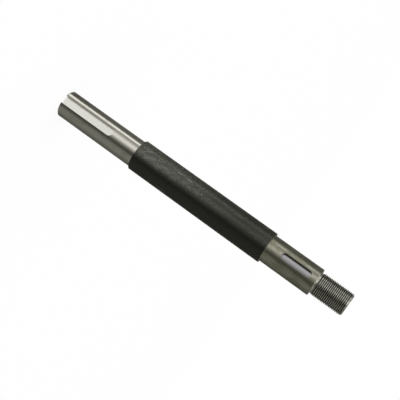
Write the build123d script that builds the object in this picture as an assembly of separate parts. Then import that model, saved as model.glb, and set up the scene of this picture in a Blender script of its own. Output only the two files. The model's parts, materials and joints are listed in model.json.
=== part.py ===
from build123d import *
from math import radians, tan
import os

# Stepped drive shaft in millimetres: one round bar, turned down at both ends and milled for two parallel keys.
# The shaft stands on its drive end. The axis is +Z, the origin is the centre of the lower end face, and both
# keyways are cut from the -Y side. From the bottom up: keyed drive journal, black bar, keyed hub seat,
# relief groove, thread.

# Diameters: the rolled bar, and how deep each turned length is cut below its neighbour.
bar_d = 36.5                # the bar's own rolled skin is left on between the shoulders
drive_step = 2.25           # shoulder height from the drive journal to the bar
seat_step = 2.25            # shoulder height from the hub seat to the bar
thread_step = 2.5           # shoulder height from the thread to the hub seat
drive_d = bar_d - 2 * drive_step        # 32
seat_d = bar_d - 2 * seat_step          # 32
thread_d = seat_d - 2 * thread_step     # 27, for a fine thread of 2 mm pitch

# Lengths along the axis.
drive_len = 103.0           # drive journal, end face to shoulder
bar_len = 175.0             # black bar between the shoulders
seat_len = 62.0             # hub seat, shoulder to shoulder
thread_len = 40.0           # threaded end with its relief groove

# Thread relief groove.
relief_len = 1.6
thread_depth = 1.23         # of an external metric thread of 2 mm pitch
relief_depth = thread_depth + 0.05      # the groove's floor lies just below the thread's root

# Broken edges and chamfers of the free rims, and the tool nose radius left in the corners beside the bar.
drive_chamfer = 1.0
bar_edge = 0.4
seat_chamfer = 0.7
thread_chamfer = 1.9
corner_r = 0.4

# Lathe centres, drilled into both end faces to hold the bar for turning.
centre_pilot_d = 4.0
centre_sink_d = 8.5         # mouth of the 60 degree countersink
centre_depth = 8.0          # of the pilot hole, without its drill point
centre_angle = 60.0
drill_angle = 118.0

# Keyways for parallel keys, cut by an end mill of the key's width, so their closed ends are round.
drive_key_w = 10.0
drive_key_depth = 5.0       # below the top of the journal
drive_key_len = 70.0        # from the open end face to the round end
seat_key_w = 8.0
seat_key_depth = 4.0
seat_key_len = 37.0         # over both round ends
seat_key_land = 7.5         # plain surface between the keyway and the outer end of the seat

# Heights of the shoulders.
z_bar = drive_len
z_seat = z_bar + bar_len
z_relief = z_seat + seat_len
z_thread = z_relief + relief_len
z_top = z_relief + thread_len


def lathe_centre(z_face, inward):
    """Section points of a lathe centre, from the drill point on the axis out to the mouth in the end face."""
    pilot_r = centre_pilot_d / 2
    sink_len = (centre_sink_d / 2 - pilot_r) / tan(radians(centre_angle / 2))
    point_len = pilot_r / tan(radians(drill_angle / 2))
    return [
        (0, z_face + inward * (centre_depth + point_len)),
        (pilot_r, z_face + inward * centre_depth),
        (pilot_r, z_face + inward * sink_len),
        (centre_sink_d / 2, z_face),
    ]


def turned_blank():
    """The turned form, revolved from half of its lengthways section, drawn on the side of the keyways.

    The seams of the turned faces therefore lie in line with the keyways.
    """
    relief_r = thread_d / 2 - relief_depth
    keyway_side = Plane(origin=(0, 0, 0), x_dir=(0, -1, 0), z_dir=(-1, 0, 0))
    section = Polyline(
        *lathe_centre(0, 1),
        (drive_d / 2, 0),
        (drive_d / 2, z_bar),
        (bar_d / 2, z_bar),
        (bar_d / 2, z_seat),
        (seat_d / 2, z_seat),
        (seat_d / 2, z_relief),
        (relief_r, z_relief),
        (relief_r, z_thread),
        (thread_d / 2, z_thread),
        (thread_d / 2, z_top),
        *reversed(lathe_centre(z_top, -1)),
        close=True,
    )
    return revolve(keyway_side * make_face(section), Axis.Z)


def ring_edge(solid, diameter, height):
    """The circular edge of that diameter at that height."""
    rings = solid.edges().filter_by(GeomType.CIRCLE)
    return min(rings, key=lambda e: abs(e.arc_center.Z - height) + abs(e.radius - diameter / 2))


def finish_edges(solid):
    """Chamfers on the free rims, and tool radii in the two corners beside the bar."""
    rims = (
        (drive_d, 0, drive_chamfer),
        (bar_d, z_bar, bar_edge),
        (bar_d, z_seat, bar_edge),
        (seat_d, z_relief, seat_chamfer),
        (thread_d, z_top, thread_chamfer),
    )
    for diameter, height, size in rims:
        solid = chamfer(ring_edge(solid, diameter, height), size)
    corners = ((drive_d, z_bar), (seat_d, z_seat))
    for diameter, height in corners:
        solid = fillet(ring_edge(solid, diameter, height), corner_r)
    return solid


def keyway_cut(journal_d, width, depth, z_low, z_high):
    """What an end mill takes out between two round ends, from outside the journal down to the keyway's floor."""
    floor_y = -(journal_d / 2 - depth)
    middle = (z_low + z_high) / 2
    floor = Plane(origin=(0, floor_y, middle), x_dir=(0, 0, 1), z_dir=(0, -1, 0))
    return extrude(floor * SlotOverall(z_high - z_low, width), 2 * depth)


shaft = finish_edges(turned_blank())

# The drive keyway runs out of the end face: its lower round end lies wholly below the shaft.
shaft -= keyway_cut(drive_d, drive_key_w, drive_key_depth, -drive_key_w, drive_key_len)

seat_key_top = z_relief - seat_key_land
shaft -= keyway_cut(seat_d, seat_key_w, seat_key_depth, seat_key_top - seat_key_len, seat_key_top)

os.makedirs("parts", exist_ok=True)
export_step(shaft, "parts/stepped_shaft.step")
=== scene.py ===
import bpy
import bmesh
import json
import math
from mathutils import Matrix, Vector


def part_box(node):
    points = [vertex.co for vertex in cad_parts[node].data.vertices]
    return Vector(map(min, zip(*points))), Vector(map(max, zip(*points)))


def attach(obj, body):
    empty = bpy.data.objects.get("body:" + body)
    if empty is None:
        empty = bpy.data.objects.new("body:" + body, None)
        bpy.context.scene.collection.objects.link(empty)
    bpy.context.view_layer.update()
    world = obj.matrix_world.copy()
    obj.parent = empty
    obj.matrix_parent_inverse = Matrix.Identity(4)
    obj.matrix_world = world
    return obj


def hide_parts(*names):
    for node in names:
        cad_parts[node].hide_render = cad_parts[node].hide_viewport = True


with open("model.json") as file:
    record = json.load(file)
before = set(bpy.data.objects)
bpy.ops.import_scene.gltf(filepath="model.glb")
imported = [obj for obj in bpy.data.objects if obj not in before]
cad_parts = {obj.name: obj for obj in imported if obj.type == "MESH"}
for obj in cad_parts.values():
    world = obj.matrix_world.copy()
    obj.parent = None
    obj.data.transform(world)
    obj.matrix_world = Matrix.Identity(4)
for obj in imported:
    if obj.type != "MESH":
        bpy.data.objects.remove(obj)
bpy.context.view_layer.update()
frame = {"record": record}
print("frame loaded")

shaftNode = "stepped_shaft"
mounts = {mount["name"]: mount for mount in frame["record"]["mounts"]}


def wallRadius(mountName):
    return mounts[mountName]["dims"]["r_mm"] / 1000


def wallLength(mountName):
    return mounts[mountName]["dims"]["length_mm"] / 1000


def placeOf(mountName):
    return Vector(mounts[mountName]["pos_m"])


class Wire:                                     # an output socket that can stand in an expression
    def __init__(self, graph, socket):
        self.graph = graph
        self.socket = socket

    def calc(self, operation, *values):
        return self.graph.add("ShaderNodeMath", {"operation": operation}, dict(enumerate(values)))

    def __add__(self, other):
        return self.calc("ADD", self, other)

    def __radd__(self, other):
        return self.calc("ADD", other, self)

    def __sub__(self, other):
        return self.calc("SUBTRACT", self, other)

    def __rsub__(self, other):
        return self.calc("SUBTRACT", other, self)

    def __mul__(self, other):
        return self.calc("MULTIPLY", self, other)

    def __rmul__(self, other):
        return self.calc("MULTIPLY", other, self)

    def __truediv__(self, other):
        return self.calc("DIVIDE", self, other)

    def __rtruediv__(self, other):
        return self.calc("DIVIDE", other, self)

    def __lt__(self, other):
        return self.calc("LESS_THAN", self, other)

    def __gt__(self, other):
        return self.calc("GREATER_THAN", self, other)

    def min(self, other):
        return self.calc("MINIMUM", self, other)

    def max(self, other):
        return self.calc("MAXIMUM", self, other)

    def abs(self):
        return self.calc("ABSOLUTE", self)

    def floor(self):
        return self.calc("FLOOR", self)

    def ceil(self):
        return self.calc("CEIL", self)

    def sin(self):
        return self.calc("SINE", self)

    def cos(self):
        return self.calc("COSINE", self)

    def step(self, low, high):                  # 0 at low, 1 at high, smooth between
        settings = {"interpolation_type": "SMOOTHSTEP"}
        rising = {"Value": self, "From Min": min(low, high), "From Max": max(low, high)}
        ends = {"To Min": 0.0, "To Max": 1.0} if low < high else {"To Min": 1.0, "To Max": 0.0}
        return self.graph.add("ShaderNodeMapRange", settings, {**rising, **ends})


class Graph:                                    # a node tree, with one way to add any node to it
    def __init__(self, tree):
        self.tree = tree

    def add(self, kind, settings=None, inputs=None, output=0):
        node = self.tree.nodes.new(kind)
        for name, value in (settings or {}).items():
            setattr(node, name, value)
        for key, value in (inputs or {}).items():
            if isinstance(value, Wire):
                self.tree.links.new(value.socket, node.inputs[key])
            else:
                node.inputs[key].default_value = value
        return Wire(self, node.outputs[output]) if len(node.outputs) else node

    def feed(self, wire, shader, socketName):
        self.tree.links.new(wire.socket, shader.inputs[socketName])

    def split(self, vector):
        node = self.add("ShaderNodeSeparateXYZ", None, {0: vector}).socket.node
        return [Wire(self, output) for output in node.outputs]

    def joined(self, x, y, z):
        return self.add("ShaderNodeCombineXYZ", None, {0: x, 1: y, 2: z})

    def blend(self, factor, first, second):     # of two colours
        ends = {key: (*c, 1.0) if isinstance(c, tuple) else c for key, c in ((6, first), (7, second))}
        return self.add("ShaderNodeMix", {"data_type": "RGBA"}, {0: factor, **ends}, output=2)

    def noise(self, vector, scale, detail=2.0, roughness=0.5):
        inputs = {"Vector": vector, "Scale": scale, "Detail": detail, "Roughness": roughness}
        return self.add("ShaderNodeTexNoise", None, inputs)

    def bump(self, height, distance, strength=1.0):
        inputs = {"Height": height, "Distance": distance, "Strength": strength}
        return self.add("ShaderNodeBump", None, inputs)


def geometryTree(name, sockets):
    tree = bpy.data.node_groups.new(name, "GeometryNodeTree")
    tree.interface.new_socket("Geometry", in_out="OUTPUT", socket_type="NodeSocketGeometry")
    for label, kind in sockets.items():
        tree.interface.new_socket(label, in_out="INPUT", socket_type="NodeSocket" + kind)
    graph = Graph(tree)
    entry = tree.nodes.new("NodeGroupInput")
    return graph, {label: Wire(graph, entry.outputs[label]) for label in sockets}


def closeTree(graph, mesh, material):
    solid = graph.add("GeometryNodeRealizeInstances", None, {0: mesh})
    done = graph.add("GeometryNodeSetMaterial", None, {"Geometry": solid, "Material": material})
    graph.add("NodeGroupOutput", None, {0: done})
    return graph.tree


def madeWith(tree, mesh, values):               # the plain mesh that a tree makes
    maker = bpy.data.objects.new(tree.name, mesh)
    bpy.context.scene.collection.objects.link(maker)
    modifier = maker.modifiers.new("maker", "NODES")
    modifier.node_group = tree
    for item in tree.interface.items_tree:
        if item.in_out == "INPUT" and item.name in values:
            modifier[item.identifier] = values[item.name]
    view = bpy.context.evaluated_depsgraph_get()
    made = bpy.data.meshes.new_from_object(maker.evaluated_get(view), depsgraph=view)
    maker.modifiers.clear()
    bpy.data.objects.remove(maker)
    return made


camera = {
    "aimHeight": 0.1957,                        # m, the point of the axis that it looks at
    "distance": 0.915,
    "azimuth": 10.3,                            # degrees, from the side that the keyways face
    "elevation": 11.4,
    "roll": 125.70,                             # degrees, lays the shaft down towards the right
    "lens": 76.5,
    "right": -0.0061,                           # m, sideways and upwards in its own view
    "up": 0.0037,
}


def placeCamera():
    azimuth = math.radians(camera["azimuth"])
    elevation = math.radians(camera["elevation"])
    back = Vector((
        math.sin(azimuth) * math.cos(elevation),
        -math.cos(azimuth) * math.cos(elevation),
        math.sin(elevation),
    ))
    level = back.to_track_quat("Z", "Y").to_matrix()
    turned = level @ Matrix.Rotation(math.radians(camera["roll"]), 3, "Z")
    place = Vector((0, 0, camera["aimHeight"])) + back * camera["distance"]
    place += turned.col[0] * camera["right"] + turned.col[1] * camera["up"]
    data = bpy.data.cameras.new("camera")
    data.lens = camera["lens"]
    data.clip_start = 0.01
    eye = bpy.data.objects.new("camera", data)
    eye.matrix_world = Matrix.Translation(place) @ turned.to_4x4()
    bpy.context.scene.collection.objects.link(eye)
    bpy.context.scene.camera = eye


placeCamera()
print("camera placed")


def newMaterial(name):
    material = bpy.data.materials.new(name)
    material.use_nodes = True
    graph = Graph(material.node_tree)
    place = graph.add("ShaderNodeTexCoord", None, None, output=3)
    return material, graph, material.node_tree.nodes["Principled BSDF"], place


driveSteel = {
    "colour": (0.62, 0.605, 0.555),
    "dull": (0.47, 0.455, 0.39),                # where it has been handled
    "stain": (0.27, 0.20, 0.125),               # brown bloom beside the keyway, at the open end
    "roughness": 0.19,
    "grain": 0.7,
}


def radiusOf(graph, x, y):
    return (x * x + y * y).calc("SQRT", x * x + y * y)


def turnedLines(graph, x, y, z, distance):      # the fine rings that a lathe tool leaves
    rings = graph.noise(graph.joined(x * 0.03, y * 0.03, z), 2600.0, 3.0)
    return graph.bump(rings, distance, 0.6)


def driveSteelFinish():
    material, graph, shader, place = newMaterial("driveSteel")
    x, y, z = graph.split(place)
    smudge = graph.noise(graph.joined(x, y, z * 0.45), 150.0, 4.0, 0.6)
    handled = smudge.step(0.50, 0.72) * 0.75
    bloom = graph.noise(graph.joined(x, y, z * 0.5), 320.0, 3.0).step(0.44, 0.66)
    stained = x.step(-0.007, -0.0115) * y.step(-0.002, -0.007) * z.step(0.062, 0.02) * bloom * 0.8
    colour = graph.blend(handled, driveSteel["colour"], driveSteel["dull"])
    graph.feed(graph.blend(stained, colour, driveSteel["stain"]), shader, "Base Color")
    graph.feed(handled * 0.10 + stained * 0.15 + driveSteel["roughness"], shader, "Roughness")
    graph.feed(turnedLines(graph, x, y, z, 0.000006), shader, "Normal")
    shader.inputs["Metallic"].default_value = 1.0
    shader.inputs["Anisotropic"].default_value = driveSteel["grain"]
    shader.inputs["Anisotropic Rotation"].default_value = 0.25
    return material


seatSteel = {
    "colour": (0.465, 0.452, 0.378),
    "oily": (0.335, 0.326, 0.247),
    "face": (0.86, 0.85, 0.80),                 # freshly faced shoulders and groove
    "roughness": 0.28,
    "grain": 0.5,
}


def seatSteelFinish():
    material, graph, shader, place = newMaterial("seatSteel")
    x, y, z = graph.split(place)
    film = graph.noise(graph.joined(x, y, z * 0.4), 170.0, 4.0, 0.6).step(0.40, 0.66)
    colour = graph.blend(film, seatSteel["colour"], seatSteel["oily"])
    radius = radiusOf(graph, x, y)
    faced = (radius > seatRadius + 0.0003).max((z > seatHead - 0.0008) * (radius < seatRadius - 0.0001))
    graph.feed(graph.blend(faced, colour, seatSteel["face"]), shader, "Base Color")
    graph.feed(film * 0.09 + seatSteel["roughness"], shader, "Roughness")
    graph.feed(turnedLines(graph, x, y, z, 0.00001), shader, "Normal")
    shader.inputs["Metallic"].default_value = 1.0
    shader.inputs["Anisotropic"].default_value = seatSteel["grain"]
    shader.inputs["Anisotropic Rotation"].default_value = 0.25
    return material


blackSkin = {
    "colour": (0.0038, 0.0039, 0.0030),
    "film": (0.058, 0.062, 0.050),              # grey bloom laid only on the lit side: a mottled bloom with painted light, the shaded side left dark; thinner towards the hub seat
    "brown": (0.038, 0.029, 0.017),
    "scratch": (0.34, 0.34, 0.32),
    "roughness": 0.31,
    "ior": 1.56,
    "litSideDirection": (-0.984, -0.179),               # x and y of the direction that the film faces, the side where light is painted
    "litSideStart": (-0.0055, 0.0050),             # m that way from the axis, where it begins and is full
    "rimShadeSpan": (0.0095, 0.0160),               # m, where it starts to thin again towards the far rim as painted shade, and where it is thinnest
    "rimShadeLoss": 0.28,
    "filmFade": (0.230, 0.115),                 # m, the heights where it is thinnest and where it is full
    "fadedShare": 0.28,
    # height of the middle, angle round the axis from -Y towards -X, length, slant, width, strength
    "scratches": (
        (0.1575, 23, 0.0065, 0.06, 0.00036, 0.75),
        (0.1700, 22, 0.0085, 0.05, 0.00034, 0.85),
        (0.1900, 6, 0.0013, 0.00, 0.00060, 0.70),
        (0.1130, 16, 0.0110, 0.55, 0.00038, 0.40),
        (0.1200, 4, 0.0130, 0.60, 0.00036, 0.36),
        (0.1170, 27, 0.0100, 0.45, 0.00034, 0.36),
        (0.1290, 14, 0.0120, 0.50, 0.00032, 0.32),
        (0.1400, 8, 0.0080, 0.35, 0.00030, 0.28),
        (0.2350, 20, 0.0150, 0.05, 0.00024, 0.22),
        (0.1600, 118, 0.0120, 0.10, 0.00030, 0.30),
        (0.2200, 205, 0.0160, 0.20, 0.00028, 0.30),
        (0.1480, 290, 0.0140, -0.15, 0.00030, 0.28),
    ),
}


def scratchMask(graph, x, y, z, line):
    height, angle, length, slant, width, strength = line
    turn = math.radians(angle)
    across = x * -math.cos(turn) + y * math.sin(turn)       # along the surface, square to the axis
    facing = x * -math.sin(turn) + y * -math.cos(turn)
    along = z - height
    beside = (across - along * slant).abs()
    ends = along.abs().step(length / 2, length / 3)
    return beside.step(width, width * 0.4) * ends * (facing > 0) * strength


def blackSkinFinish():
    material, graph, shader, place = newMaterial("blackSkin")
    x, y, z = graph.split(place)
    cloud = graph.noise(graph.joined(x, y, z * 0.35), 95.0, 5.0, 0.65)
    grit = graph.noise(place, 1500.0, 2.0)
    # the film is painted light on the lit side, thinned again as painted shade at the far rim
    side = x * blackSkin["litSideDirection"][0] + y * blackSkin["litSideDirection"][1]
    edge = side.step(*blackSkin["rimShadeSpan"]) * -blackSkin["rimShadeLoss"] + 1
    side = side.step(*blackSkin["litSideStart"]) * edge
    fade = z.step(*blackSkin["filmFade"]) * (1 - blackSkin["fadedShare"]) + blackSkin["fadedShare"]
    speck = graph.noise(place, 520.0, 4.0, 0.7).step(0.42, 0.66)
    film = side * fade * (cloud * 2.0 - 0.05) * (speck * 1.1 + 0.50)
    worn = None
    for line in blackSkin["scratches"]:
        mark = scratchMask(graph, x, y, z, line)
        worn = mark if worn is None else worn.max(mark)
    worn = worn * grit.step(0.30, 0.55)
    rim = (x * -1).step(0.0135, 0.0172) * cloud.step(0.42, 0.60) * 0.7
    colour = graph.blend(film.min(1), blackSkin["colour"], blackSkin["film"])
    colour = graph.blend(rim, colour, blackSkin["brown"])
    graph.feed(graph.blend(worn, colour, blackSkin["scratch"]), shader, "Base Color")
    graph.feed(cloud * 0.16 + (blackSkin["roughness"] - 0.08), shader, "Roughness")
    graph.feed(graph.bump(grit * 0.4 + cloud, 0.00006, 0.5), shader, "Normal")
    shader.inputs["IOR"].default_value = blackSkin["ior"]
    shader.inputs["Specular Tint"].default_value = (1.0, 1.0, 0.88, 1.0)
    return material


threadSteel = {
    "crest": (0.88, 0.87, 0.81),
    # the thread roots, painted dark as shade in the grooves
    "root": (0.150, 0.147, 0.125),
    "roughness": 0.235,
    "rimFoot": (0.0023, 0.0014),                # m below the top, where the end turns bright
    "centreRadius": 0.006,                      # m, holds the lathe centre
    "centreShare": 0.6,                         # the colour of its walls, between root and crest, as painted shade in the hole
}


def threadSteelFinish():
    material, graph, shader, place = newMaterial("threadSteel")
    x, y, z = graph.split(place)
    radius = radiusOf(graph, x, y)
    low, full = threadSteel["rimFoot"]
    rim = z.step(topHeight - low, topHeight - full)
    centre = (radius < threadSteel["centreRadius"]) * threadSteel["centreShare"]
    plain = (z < threadFoot + 0.0001).max(rim).max(centre)      # groove, end face and lathe centre
    # darker towards the thread roots and in the lathe centre: painted shade, lightest on the crests
    height = radius.step(threadRadius - threadDepth * 0.85, threadRadius - 0.0001).max(plain)
    grime = graph.noise(place, 240.0, 3.0).step(0.35, 0.7)
    share = height * (grime * -0.25 + 1)
    graph.feed(graph.blend(share, threadSteel["root"], threadSteel["crest"]), shader, "Base Color")
    graph.feed(grime * 0.12 + threadSteel["roughness"], shader, "Roughness")
    shader.inputs["Metallic"].default_value = 1.0
    return material


milledSteel = {
    "colour": (0.80, 0.79, 0.745),
    "hub": (0.56, 0.55, 0.575),                 # the hub keyway's floor, under an oily film
    # the hub keyway's walls, painted dark as shade; the milling marks are tinted towards it too
    "wall": (0.20, 0.195, 0.165),
    "driveWall": (0.84, 0.82, 0.76),
    "corner": (0.045, 0.044, 0.038),            # painted shade on the hub keyway's floor, full along the foot of the -X wall
    "roughness": 0.27,
    "markPitch": 0.0009,                        # m, between the arcs that the end mill leaves
    "cutterRadius": 0.004,                      # m, of those arcs
}


def milledSteelFinish():
    material, graph, shader, place = newMaterial("milledSteel")
    x, y, z = graph.split(place)
    isHub = z > (barFoot + barHead) / 2
    reach = (milledSteel["cutterRadius"] ** 2 - x * x).max(0)
    swing = (z - reach.calc("SQRT", reach)) * (2 * math.pi / milledSteel["markPitch"])
    marks = swing.sin() * 0.5 + 0.5
    blotch = graph.noise(place, 420.0, 3.0)
    floor = graph.blend(isHub, milledSteel["colour"], milledSteel["hub"])
    floor = graph.blend(marks * 0.10, floor, milledSteel["wall"])
    # painted shade on the hub keyway's floor: full beside the -X wall, up to 0.72 of it towards the +X wall
    floorShade = x.step(-0.0012, -0.0033).max(x.step(-0.0012, 0.0044) * 0.72) * isHub
    floor = graph.blend(floorShade, floor, milledSteel["corner"])
    normal = graph.add("ShaderNodeNewGeometry", None, None, output=1)
    upright = graph.split(normal)[1].abs().step(0.75, 0.35)         # 1 on the walls, 0 on the floor
    # the walls take the wall colour, blotched: painted shade on the hub keyway, a lighter tone on the drive
    # keyway
    blotchyWalls = upright * (blotch.step(0.42, 0.58) * 0.65 + 0.35)
    wall = graph.blend(isHub, milledSteel["driveWall"], milledSteel["wall"])
    graph.feed(graph.blend(blotchyWalls, floor, wall), shader, "Base Color")
    graph.feed(blotch * 0.12 + marks * 0.05 + (milledSteel["roughness"] - 0.06), shader, "Roughness")
    graph.feed(graph.bump(marks, 0.000008, 0.6), shader, "Normal")
    shader.inputs["Metallic"].default_value = 1.0
    return material


turning = {
    "segments": 192,                            # round the axis
    "run": 0.008,                               # m, the longest step along a plain length
    "shield": 0.0003,                           # m, a short step beside each edge, to shade it crisply
    "driveChamfer": 0.0010,
    "barEdge": 0.0004,
    "seatChamfer": 0.0007,
    "threadChamfer": 0.0019,
    "corner": 0.0004,                           # tool radius beside the bar
    "pilot": 0.0020,                            # lathe centre, radii and depth
    "sink": 0.00425,
    "centreDepth": 0.008,
    "sinkAngle": 30.0,                          # degrees from the axis
    "drillAngle": 59.0,
}
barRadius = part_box(shaftNode)[1][0]
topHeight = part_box(shaftNode)[1][2]
driveRadius = wallRadius("drive_journal")
seatRadius = wallRadius("hub_seat")
threadRadius = wallRadius("thread_end")
barFoot = placeOf("drive_shoulder").z
barHead = placeOf("hub_shoulder").z
threadFoot = topHeight - turning["threadChamfer"] - wallLength("thread_end")
seatHead = barHead + turning["corner"] + wallLength("hub_seat") + turning["seatChamfer"]
threadDepth = 0.00123
grooveRadius = threadRadius - threadDepth - 0.00005
headRadius = threadRadius - turning["threadChamfer"]


def lathePoints(face, inward):                  # a lathe centre, from its point out to the end face
    pilot, sink = turning["pilot"], turning["sink"]
    point = pilot / math.tan(math.radians(turning["drillAngle"]))
    sinkLength = (sink - pilot) / math.tan(math.radians(turning["sinkAngle"]))
    depths = (turning["centreDepth"] + point, turning["centreDepth"], sinkLength, 0)
    return [(radius, face + inward * depth) for radius, depth in zip((0, pilot, pilot, sink), depths)]


def cornerPoints(radius, shoulder, side):       # side is 1 where the bar lies above the journal
    corner, steps = turning["corner"], 5
    arc = []
    for i in range(steps + 1):
        turn = math.radians(90 * i / steps)
        inset = (corner * (1 - math.cos(turn)), corner * (1 - math.sin(turn)))
        arc.append((radius + inset[0], shoulder - side * inset[1]))
    return arc if side > 0 else arc[::-1]


def withShields(points):
    filled = [points[0]]
    for (r0, z0), (r1, z1) in zip(points, points[1:]):
        length = math.hypot(r1 - r0, z1 - z0)
        shares = []
        if length > 4 * turning["shield"]:
            inset = turning["shield"] / length
            steps = max(1, math.ceil(length / turning["run"]))
            shares = [inset + (1 - 2 * inset) * i / steps for i in range(steps + 1)]
        filled += [(r0 + (r1 - r0) * share, z0 + (z1 - z0) * share) for share in shares + [1]]
    return filled


def sectionOf(name, points):
    mesh = bpy.data.meshes.new(name)
    spots = [(radius, 0, height) for radius, height in points]
    mesh.from_pydata(spots, [(i, i + 1) for i in range(len(spots) - 1)], [])
    return mesh


def latheTree():                                # turns a section about Z
    sockets = {"Section": "Geometry", "Segments": "Int", "Material": "Material"}
    graph, given = geometryTree("lathe", sockets)
    rows = graph.add("GeometryNodeAttributeDomainSize", None, {0: given["Section"]})
    sizes = {"Size X": 1.0, "Size Y": 1.0, "Vertices X": rows, "Vertices Y": given["Segments"] + 1}
    grid = graph.add("GeometryNodeMeshGrid", None, sizes)
    across, along, _ = graph.split(graph.add("GeometryNodeInputPosition"))
    row = ((across + 0.5) * (rows - 1) + 0.5).floor()
    picked = {"Geometry": given["Section"], "Value": graph.add("GeometryNodeInputPosition"), "Index": row}
    settings = {"data_type": "FLOAT_VECTOR", "domain": "POINT"}
    radius, _, height = graph.split(graph.add("GeometryNodeSampleIndex", settings, picked))
    turn = (along + 0.5) * (2 * math.pi)
    place = graph.joined(radius * turn.cos(), radius * turn.sin(), height)
    moved = graph.add("GeometryNodeSetPosition", None, {"Geometry": grid, "Position": place})
    merged = graph.add("GeometryNodeMergeByDistance", None, {"Geometry": moved, "Distance": 1e-6})
    return closeTree(graph, merged, given["Material"])


thread = {
    "Pitch": 0.002,
    "Crest": 0.22,                              # share of the pitch that is flat on top
    "Depth": threadDepth,
    "Radius": threadRadius,
    "Foot": threadFoot,
    "Foot Radius": grooveRadius,
    "Head": topHeight,
    "Head Radius": headRadius,
}


def threadTree():                               # a right-hand screw thread, its rows along the helix
    floats = {size: "Float" for size in thread}
    sockets = {"Base": "Geometry", **floats, "Segments": "Int", "Material": "Material"}
    graph, given = geometryTree("screwThread", sockets)
    pitches = ((given["Head"] - given["Foot"]) / given["Pitch"]).ceil() + 1
    rows = pitches * 8
    sizes = {"Size X": 1.0, "Size Y": 1.0, "Vertices X": rows + 1.5, "Vertices Y": given["Segments"] + 1}
    grid = graph.add("GeometryNodeMeshGrid", None, sizes)
    across, along, _ = graph.split(graph.add("GeometryNodeInputPosition"))
    row = ((across + 0.5) * rows + 0.5).floor()
    whole = (row / 8 + 0.01).floor()            # pitches below this row
    half = ((row - whole * 8) / 4 + 0.01).floor()       # 0 on the rising flank, 1 on the falling one
    stepUp = (row - whole * 8 - half * 4) / 3
    flank = given["Depth"] * math.tan(math.radians(30)) / given["Pitch"]
    share = whole + stepUp * flank + half * (flank + given["Crest"])
    fall = (1 - stepUp) * (1 - half) + stepUp * half
    turn = along + 0.5
    height = given["Foot"] + given["Pitch"] * (share - 1 + turn)
    height = height.max(given["Foot"]).min(given["Head"])
    flat = given["Radius"] - given["Depth"] * fall
    atFoot = given["Foot Radius"] + (height - given["Foot"])
    atHead = given["Head Radius"] + (given["Head"] - height)
    radius = flat.min(atFoot).min(atHead)
    angle = turn * (2 * math.pi)
    place = graph.joined(radius * angle.cos(), radius * angle.sin(), height)
    moved = graph.add("GeometryNodeSetPosition", None, {"Geometry": grid, "Position": place})
    merged = graph.add("GeometryNodeMergeByDistance", None, {"Geometry": moved, "Distance": 1e-6})
    return closeTree(graph, merged, given["Material"])


def lowerSection():                             # from the lower lathe centre up to the foot of the thread
    chamfer, edge, end = turning["driveChamfer"], turning["barEdge"], turning["seatChamfer"]
    points = lathePoints(0, 1) + [(driveRadius - chamfer, 0), (driveRadius, chamfer)]
    points += cornerPoints(driveRadius, barFoot, 1)
    points += [(barRadius - edge, barFoot), (barRadius, barFoot + edge)]
    points += [(barRadius, barHead - edge), (barRadius - edge, barHead)]
    points += cornerPoints(seatRadius, barHead, -1)
    points += [(seatRadius, seatHead - end), (seatRadius - end, seatHead)]
    points += [(grooveRadius, seatHead), (grooveRadius, threadFoot)]
    return withShields(points)


def upperSection():                             # from the thread's rim into the upper lathe centre
    return withShields([(headRadius, topHeight)] + lathePoints(topHeight, -1)[::-1])


keyways = {
    "drive": {
        "width": 0.010,
        "low": -0.010,                          # below the end face, so the keyway is open there
        "high": 0.070,
        "floor": placeOf("drive_key_floor").y,
    },
    "hub": {
        "width": 0.008,
        "low": seatHead - 0.0445,
        "high": seatHead - 0.0075,
        "floor": placeOf("hub_key_floor").y,
    },
    "steps": 32,                                # round each end
}


def keywayCutter(name, material):               # the stadium-shaped block that an end mill takes out
    size = keyways[name]
    radius = size["width"] / 2
    outline = []
    for centre, start in ((size["high"] - radius, 0), (size["low"] + radius, 180)):
        for i in range(keyways["steps"] + 1):
            turn = math.radians(start + 180 * i / keyways["steps"])
            outline.append((radius * math.cos(turn), centre + radius * math.sin(turn)))
    outer = size["floor"] - size["width"]
    count = len(outline)
    spots = [(x, size["floor"], z) for x, z in outline] + [(x, outer, z) for x, z in outline]
    sides = [(i, (i + 1) % count, (i + 1) % count + count, i + count) for i in range(count)]
    mesh = bpy.data.meshes.new(name + "Keyway")
    mesh.from_pydata(spots, [], sides + [tuple(range(count)), tuple(range(count, 2 * count))])
    mesh.materials.append(material)
    form = bmesh.new()
    form.from_mesh(mesh)
    bmesh.ops.recalc_face_normals(form, faces=form.faces)
    form.to_mesh(mesh)
    form.free()
    cutter = bpy.data.objects.new(name + "Keyway", mesh)
    bpy.context.scene.collection.objects.link(cutter)
    return cutter


def weld(parts):                                # one closed mesh from turned parts that share their rings
    form = bmesh.new()
    for part in parts:
        form.from_mesh(part)
    bmesh.ops.remove_doubles(form, verts=form.verts, dist=2e-6)
    bmesh.ops.recalc_face_normals(form, faces=form.faces)
    mesh = bpy.data.meshes.new("turnedShaft")
    form.to_mesh(mesh)
    form.free()
    return mesh


def keyed(shaft, cutters):                      # cuts the keyways and leaves a plain mesh
    for cutter in cutters:
        cut = shaft.modifiers.new(cutter.name, "BOOLEAN")
        cut.operation = "DIFFERENCE"
        cut.solver = "EXACT"
        cut.object = cutter
    view = bpy.context.evaluated_depsgraph_get()
    mesh = bpy.data.meshes.new_from_object(shaft.evaluated_get(view), depsgraph=view)
    shaft.modifiers.clear()
    shaft.data = mesh
    for cutter in cutters:
        bpy.data.objects.remove(cutter)


def inKeyway(name, journal, point):             # true on a keyway's floor and walls
    size = keyways[name]
    radius = size["width"] / 2
    along = point.z - min(max(point.z, size["low"] + radius), size["high"] - radius)
    inside = math.hypot(point.x, along) < radius + 1e-5 and point.y < size["floor"] + 1e-5
    return inside and math.hypot(point.x, point.y) < journal - 5e-5


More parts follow.
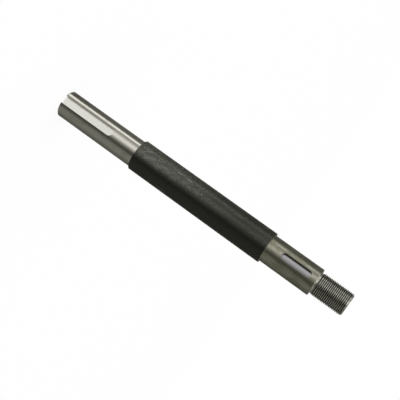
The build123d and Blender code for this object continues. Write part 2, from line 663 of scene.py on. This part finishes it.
def finishFaces(mesh, finishes):                # each face takes the finish of its stretch of the shaft
    slots = {material.name: i for i, material in enumerate(mesh.materials) if material}
    for material in finishes.values():
        if material.name not in slots:
            mesh.materials.append(material)
            slots[material.name] = len(mesh.materials) - 1
    for face in mesh.polygons:
        face.use_smooth = True
        height = face.center.z
        if inKeyway("drive", driveRadius, face.center) or inKeyway("hub", seatRadius, face.center):
            part = "milled"
        elif height < barFoot - 1e-5:
            part = "drive"
        elif height < barHead - 1e-5:
            part = "bar"
        elif height < seatHead + 1e-5:
            part = "seat"
        else:
            part = "thread"
        face.material_index = slots[finishes[part].name]
    mesh.set_sharp_from_angle(angle=math.radians(28))


def makeShaft():
    finishes = {
        "drive": driveSteelFinish(),
        "bar": blackSkinFinish(),
        "seat": seatSteelFinish(),
        "thread": threadSteelFinish(),
        "milled": milledSteelFinish(),
    }
    lathe = latheTree()
    start = {"Segments": turning["segments"], "Material": finishes["drive"]}
    lower = madeWith(lathe, sectionOf("lowerSection", lowerSection()), start)
    upper = madeWith(lathe, sectionOf("upperSection", upperSection()), start)
    empty = bpy.data.meshes.new("empty")
    screw = madeWith(threadTree(), empty, {**thread, **start})
    print("turned parts", [len(part.polygons) for part in (lower, upper, screw)])
    shaft = bpy.data.objects.new("turnedShaft", weld((lower, upper, screw)))
    bpy.context.scene.collection.objects.link(shaft)
    shaft.data.materials.append(finishes["drive"])
    keyed(shaft, [keywayCutter(name, finishes["milled"]) for name in ("drive", "hub")])
    finishFaces(shaft.data, finishes)
    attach(shaft, "root")
    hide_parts(shaftNode)
    return shaft


shaft = makeShaft()
print("shaft made", len(shaft.data.polygons), "faces", [m.name for m in shaft.data.materials])


studio = {
    "turn": 10.3,                               # degrees, the azimuth that the bands are counted from
    "strength": 2.0,
    "horizon": 0.60,                            # how bright the light side still is at the shaft's own level
    "bands": (                                  # degrees towards -X, brightness as a share of the strength
        (-180, 0.080), (-140, 0.062), (-118, 0.072), (-103, 0.096), (-88, 0.120), (-70, 0.124), (-51, 0.112),
        (-42, 0.086), (-34, 0.050), (-25, 0.034), (-16, 0.055), (-8, 0.11), (0, 0.20), (8, 0.34), (16, 0.50),
        (24, 0.60), (33, 0.55), (42, 0.40), (51, 0.26), (60, 0.19), (69, 0.24), (76, 0.80), (83, 0.80),
        (90, 0.22), (98, 0.085), (118, 0.070), (150, 0.085), (180, 0.085),
    ),
    "lean": 14.0,                               # degrees that the narrow strip leans back, low down to level
    "near": (0.32, 0.04),                       # height of a direction, where the horizon starts and is full
    "stripTurns": ((0.62, 0.68), (0.95, 0.80)),         # shares of a turn, where the lean comes and goes
    "lightTurns": ((0.44, 0.52), (0.82, 0.77)),         # and where the light side does
    "tint": (1.0, 1.0, 0.90),                   # of the dark panels
    "soft": 1.0,                                # plain level of the light on dull surfaces
    "softFrom": (-0.42, -0.50, 0.46),           # the side that it favours, and by how much
}


def raysOf(graph, kind):                        # 1 on rays of this kind
    outputs = graph.add("ShaderNodeLightPath").socket.node.outputs
    return Wire(graph, outputs["Is " + kind + " Ray"])


def lightStudio():                              # upright panels round the shaft, white behind it
    world = bpy.data.worlds.new("studio")
    world.use_nodes = True
    bpy.context.scene.world = world
    graph = Graph(world.node_tree)
    panel = world.node_tree.nodes["Background"]
    x, y, z = graph.split(graph.add("ShaderNodeTexCoord"))
    azimuth = x.calc("ARCTAN2", x, y * -1) * (180 / math.pi)
    turn = (studio["turn"] - azimuth) / 360 + 0.5
    turn = turn.calc("FRACT", turn)
    near = z.abs().step(*studio["near"])        # 1 at the level of the horizon
    comes, goes = studio["stripTurns"]
    leaning = near * turn.step(*comes) * turn.step(*goes) * (studio["lean"] / 360)
    ramp = graph.add("ShaderNodeValToRGB", None, {0: turn + leaning})
    stops = ramp.socket.node.color_ramp.elements
    while len(stops) < len(studio["bands"]):
        stops.new(0.5)
    for stop, (angle, level) in zip(stops, studio["bands"]):
        share = min(1.0, max(0.0, (level - 0.15) / 0.3))        # a light panel is hardly tinted
        stop.position = angle / 360 + 0.5
        stop.color = (*(level * (tint + (1 - tint) * share * 0.8) for tint in studio["tint"]), 1)
    comes, goes = studio["lightTurns"]
    lightSide = turn.step(*comes) * turn.step(*goes)
    dim = near * lightSide * (studio["horizon"] - 1) + 1
    panels = graph.blend(dim, (0.0, 0.0, 0.0), ramp)
    east, south, high = studio["softFrom"]
    soft = (x * east + y * south + z * high + studio["soft"]) * (1 / studio["strength"])
    lit = graph.blend(raysOf(graph, "Diffuse"), panels, graph.joined(soft, soft, soft))
    seen = raysOf(graph, "Camera").max(raysOf(graph, "Transmission"))   # plain white behind the shaft
    graph.feed(graph.blend(seen, lit, (1 / studio["strength"],) * 3), panel, "Color")
    panel.inputs["Strength"].default_value = studio["strength"]
    world.cycles.sampling_method = "NONE"       # sampled light would not know its kind of ray


floorPlan = {
    "radius": 3.0,
    "whiteness": 0.92,                          # with the glow, it comes out as white as the background
    "glow": 0.984,
    "drop": 0.0001,                             # m, clear of the end face that stands on it
}


def layFloor():
    form = bmesh.new()
    bmesh.ops.create_circle(form, cap_ends=True, radius=floorPlan["radius"], segments=64)
    mesh = bpy.data.meshes.new("floor")
    form.to_mesh(mesh)
    form.free()
    floor = bpy.data.objects.new("floor", mesh)
    bpy.context.scene.collection.objects.link(floor)
    material, graph, shader, _ = newMaterial("paleFloor")
    shader.inputs["Base Color"].default_value = (0.9, 0.9, 0.9, 1)
    shader.inputs["Roughness"].default_value = 0.9
    glow = graph.add("ShaderNodeEmission", None, {"Strength": floorPlan["glow"]})
    seen = raysOf(graph, "Camera").max(raysOf(graph, "Transmission"))
    mixed = graph.add("ShaderNodeMixShader", None, {0: seen * floorPlan["whiteness"], 2: glow})
    graph.tree.links.new(shader.outputs[0], mixed.socket.node.inputs[1])
    output = material.node_tree.nodes["Material Output"]
    graph.tree.links.new(mixed.socket, output.inputs["Surface"])
    mesh.materials.append(material)
    floor.visible_glossy = False
    mesh.transform(Matrix.Translation((0, 0, -floorPlan["drop"])))


lightStudio()
layFloor()
bpy.context.scene.view_settings.view_transform = "Standard"
print("studio lit")
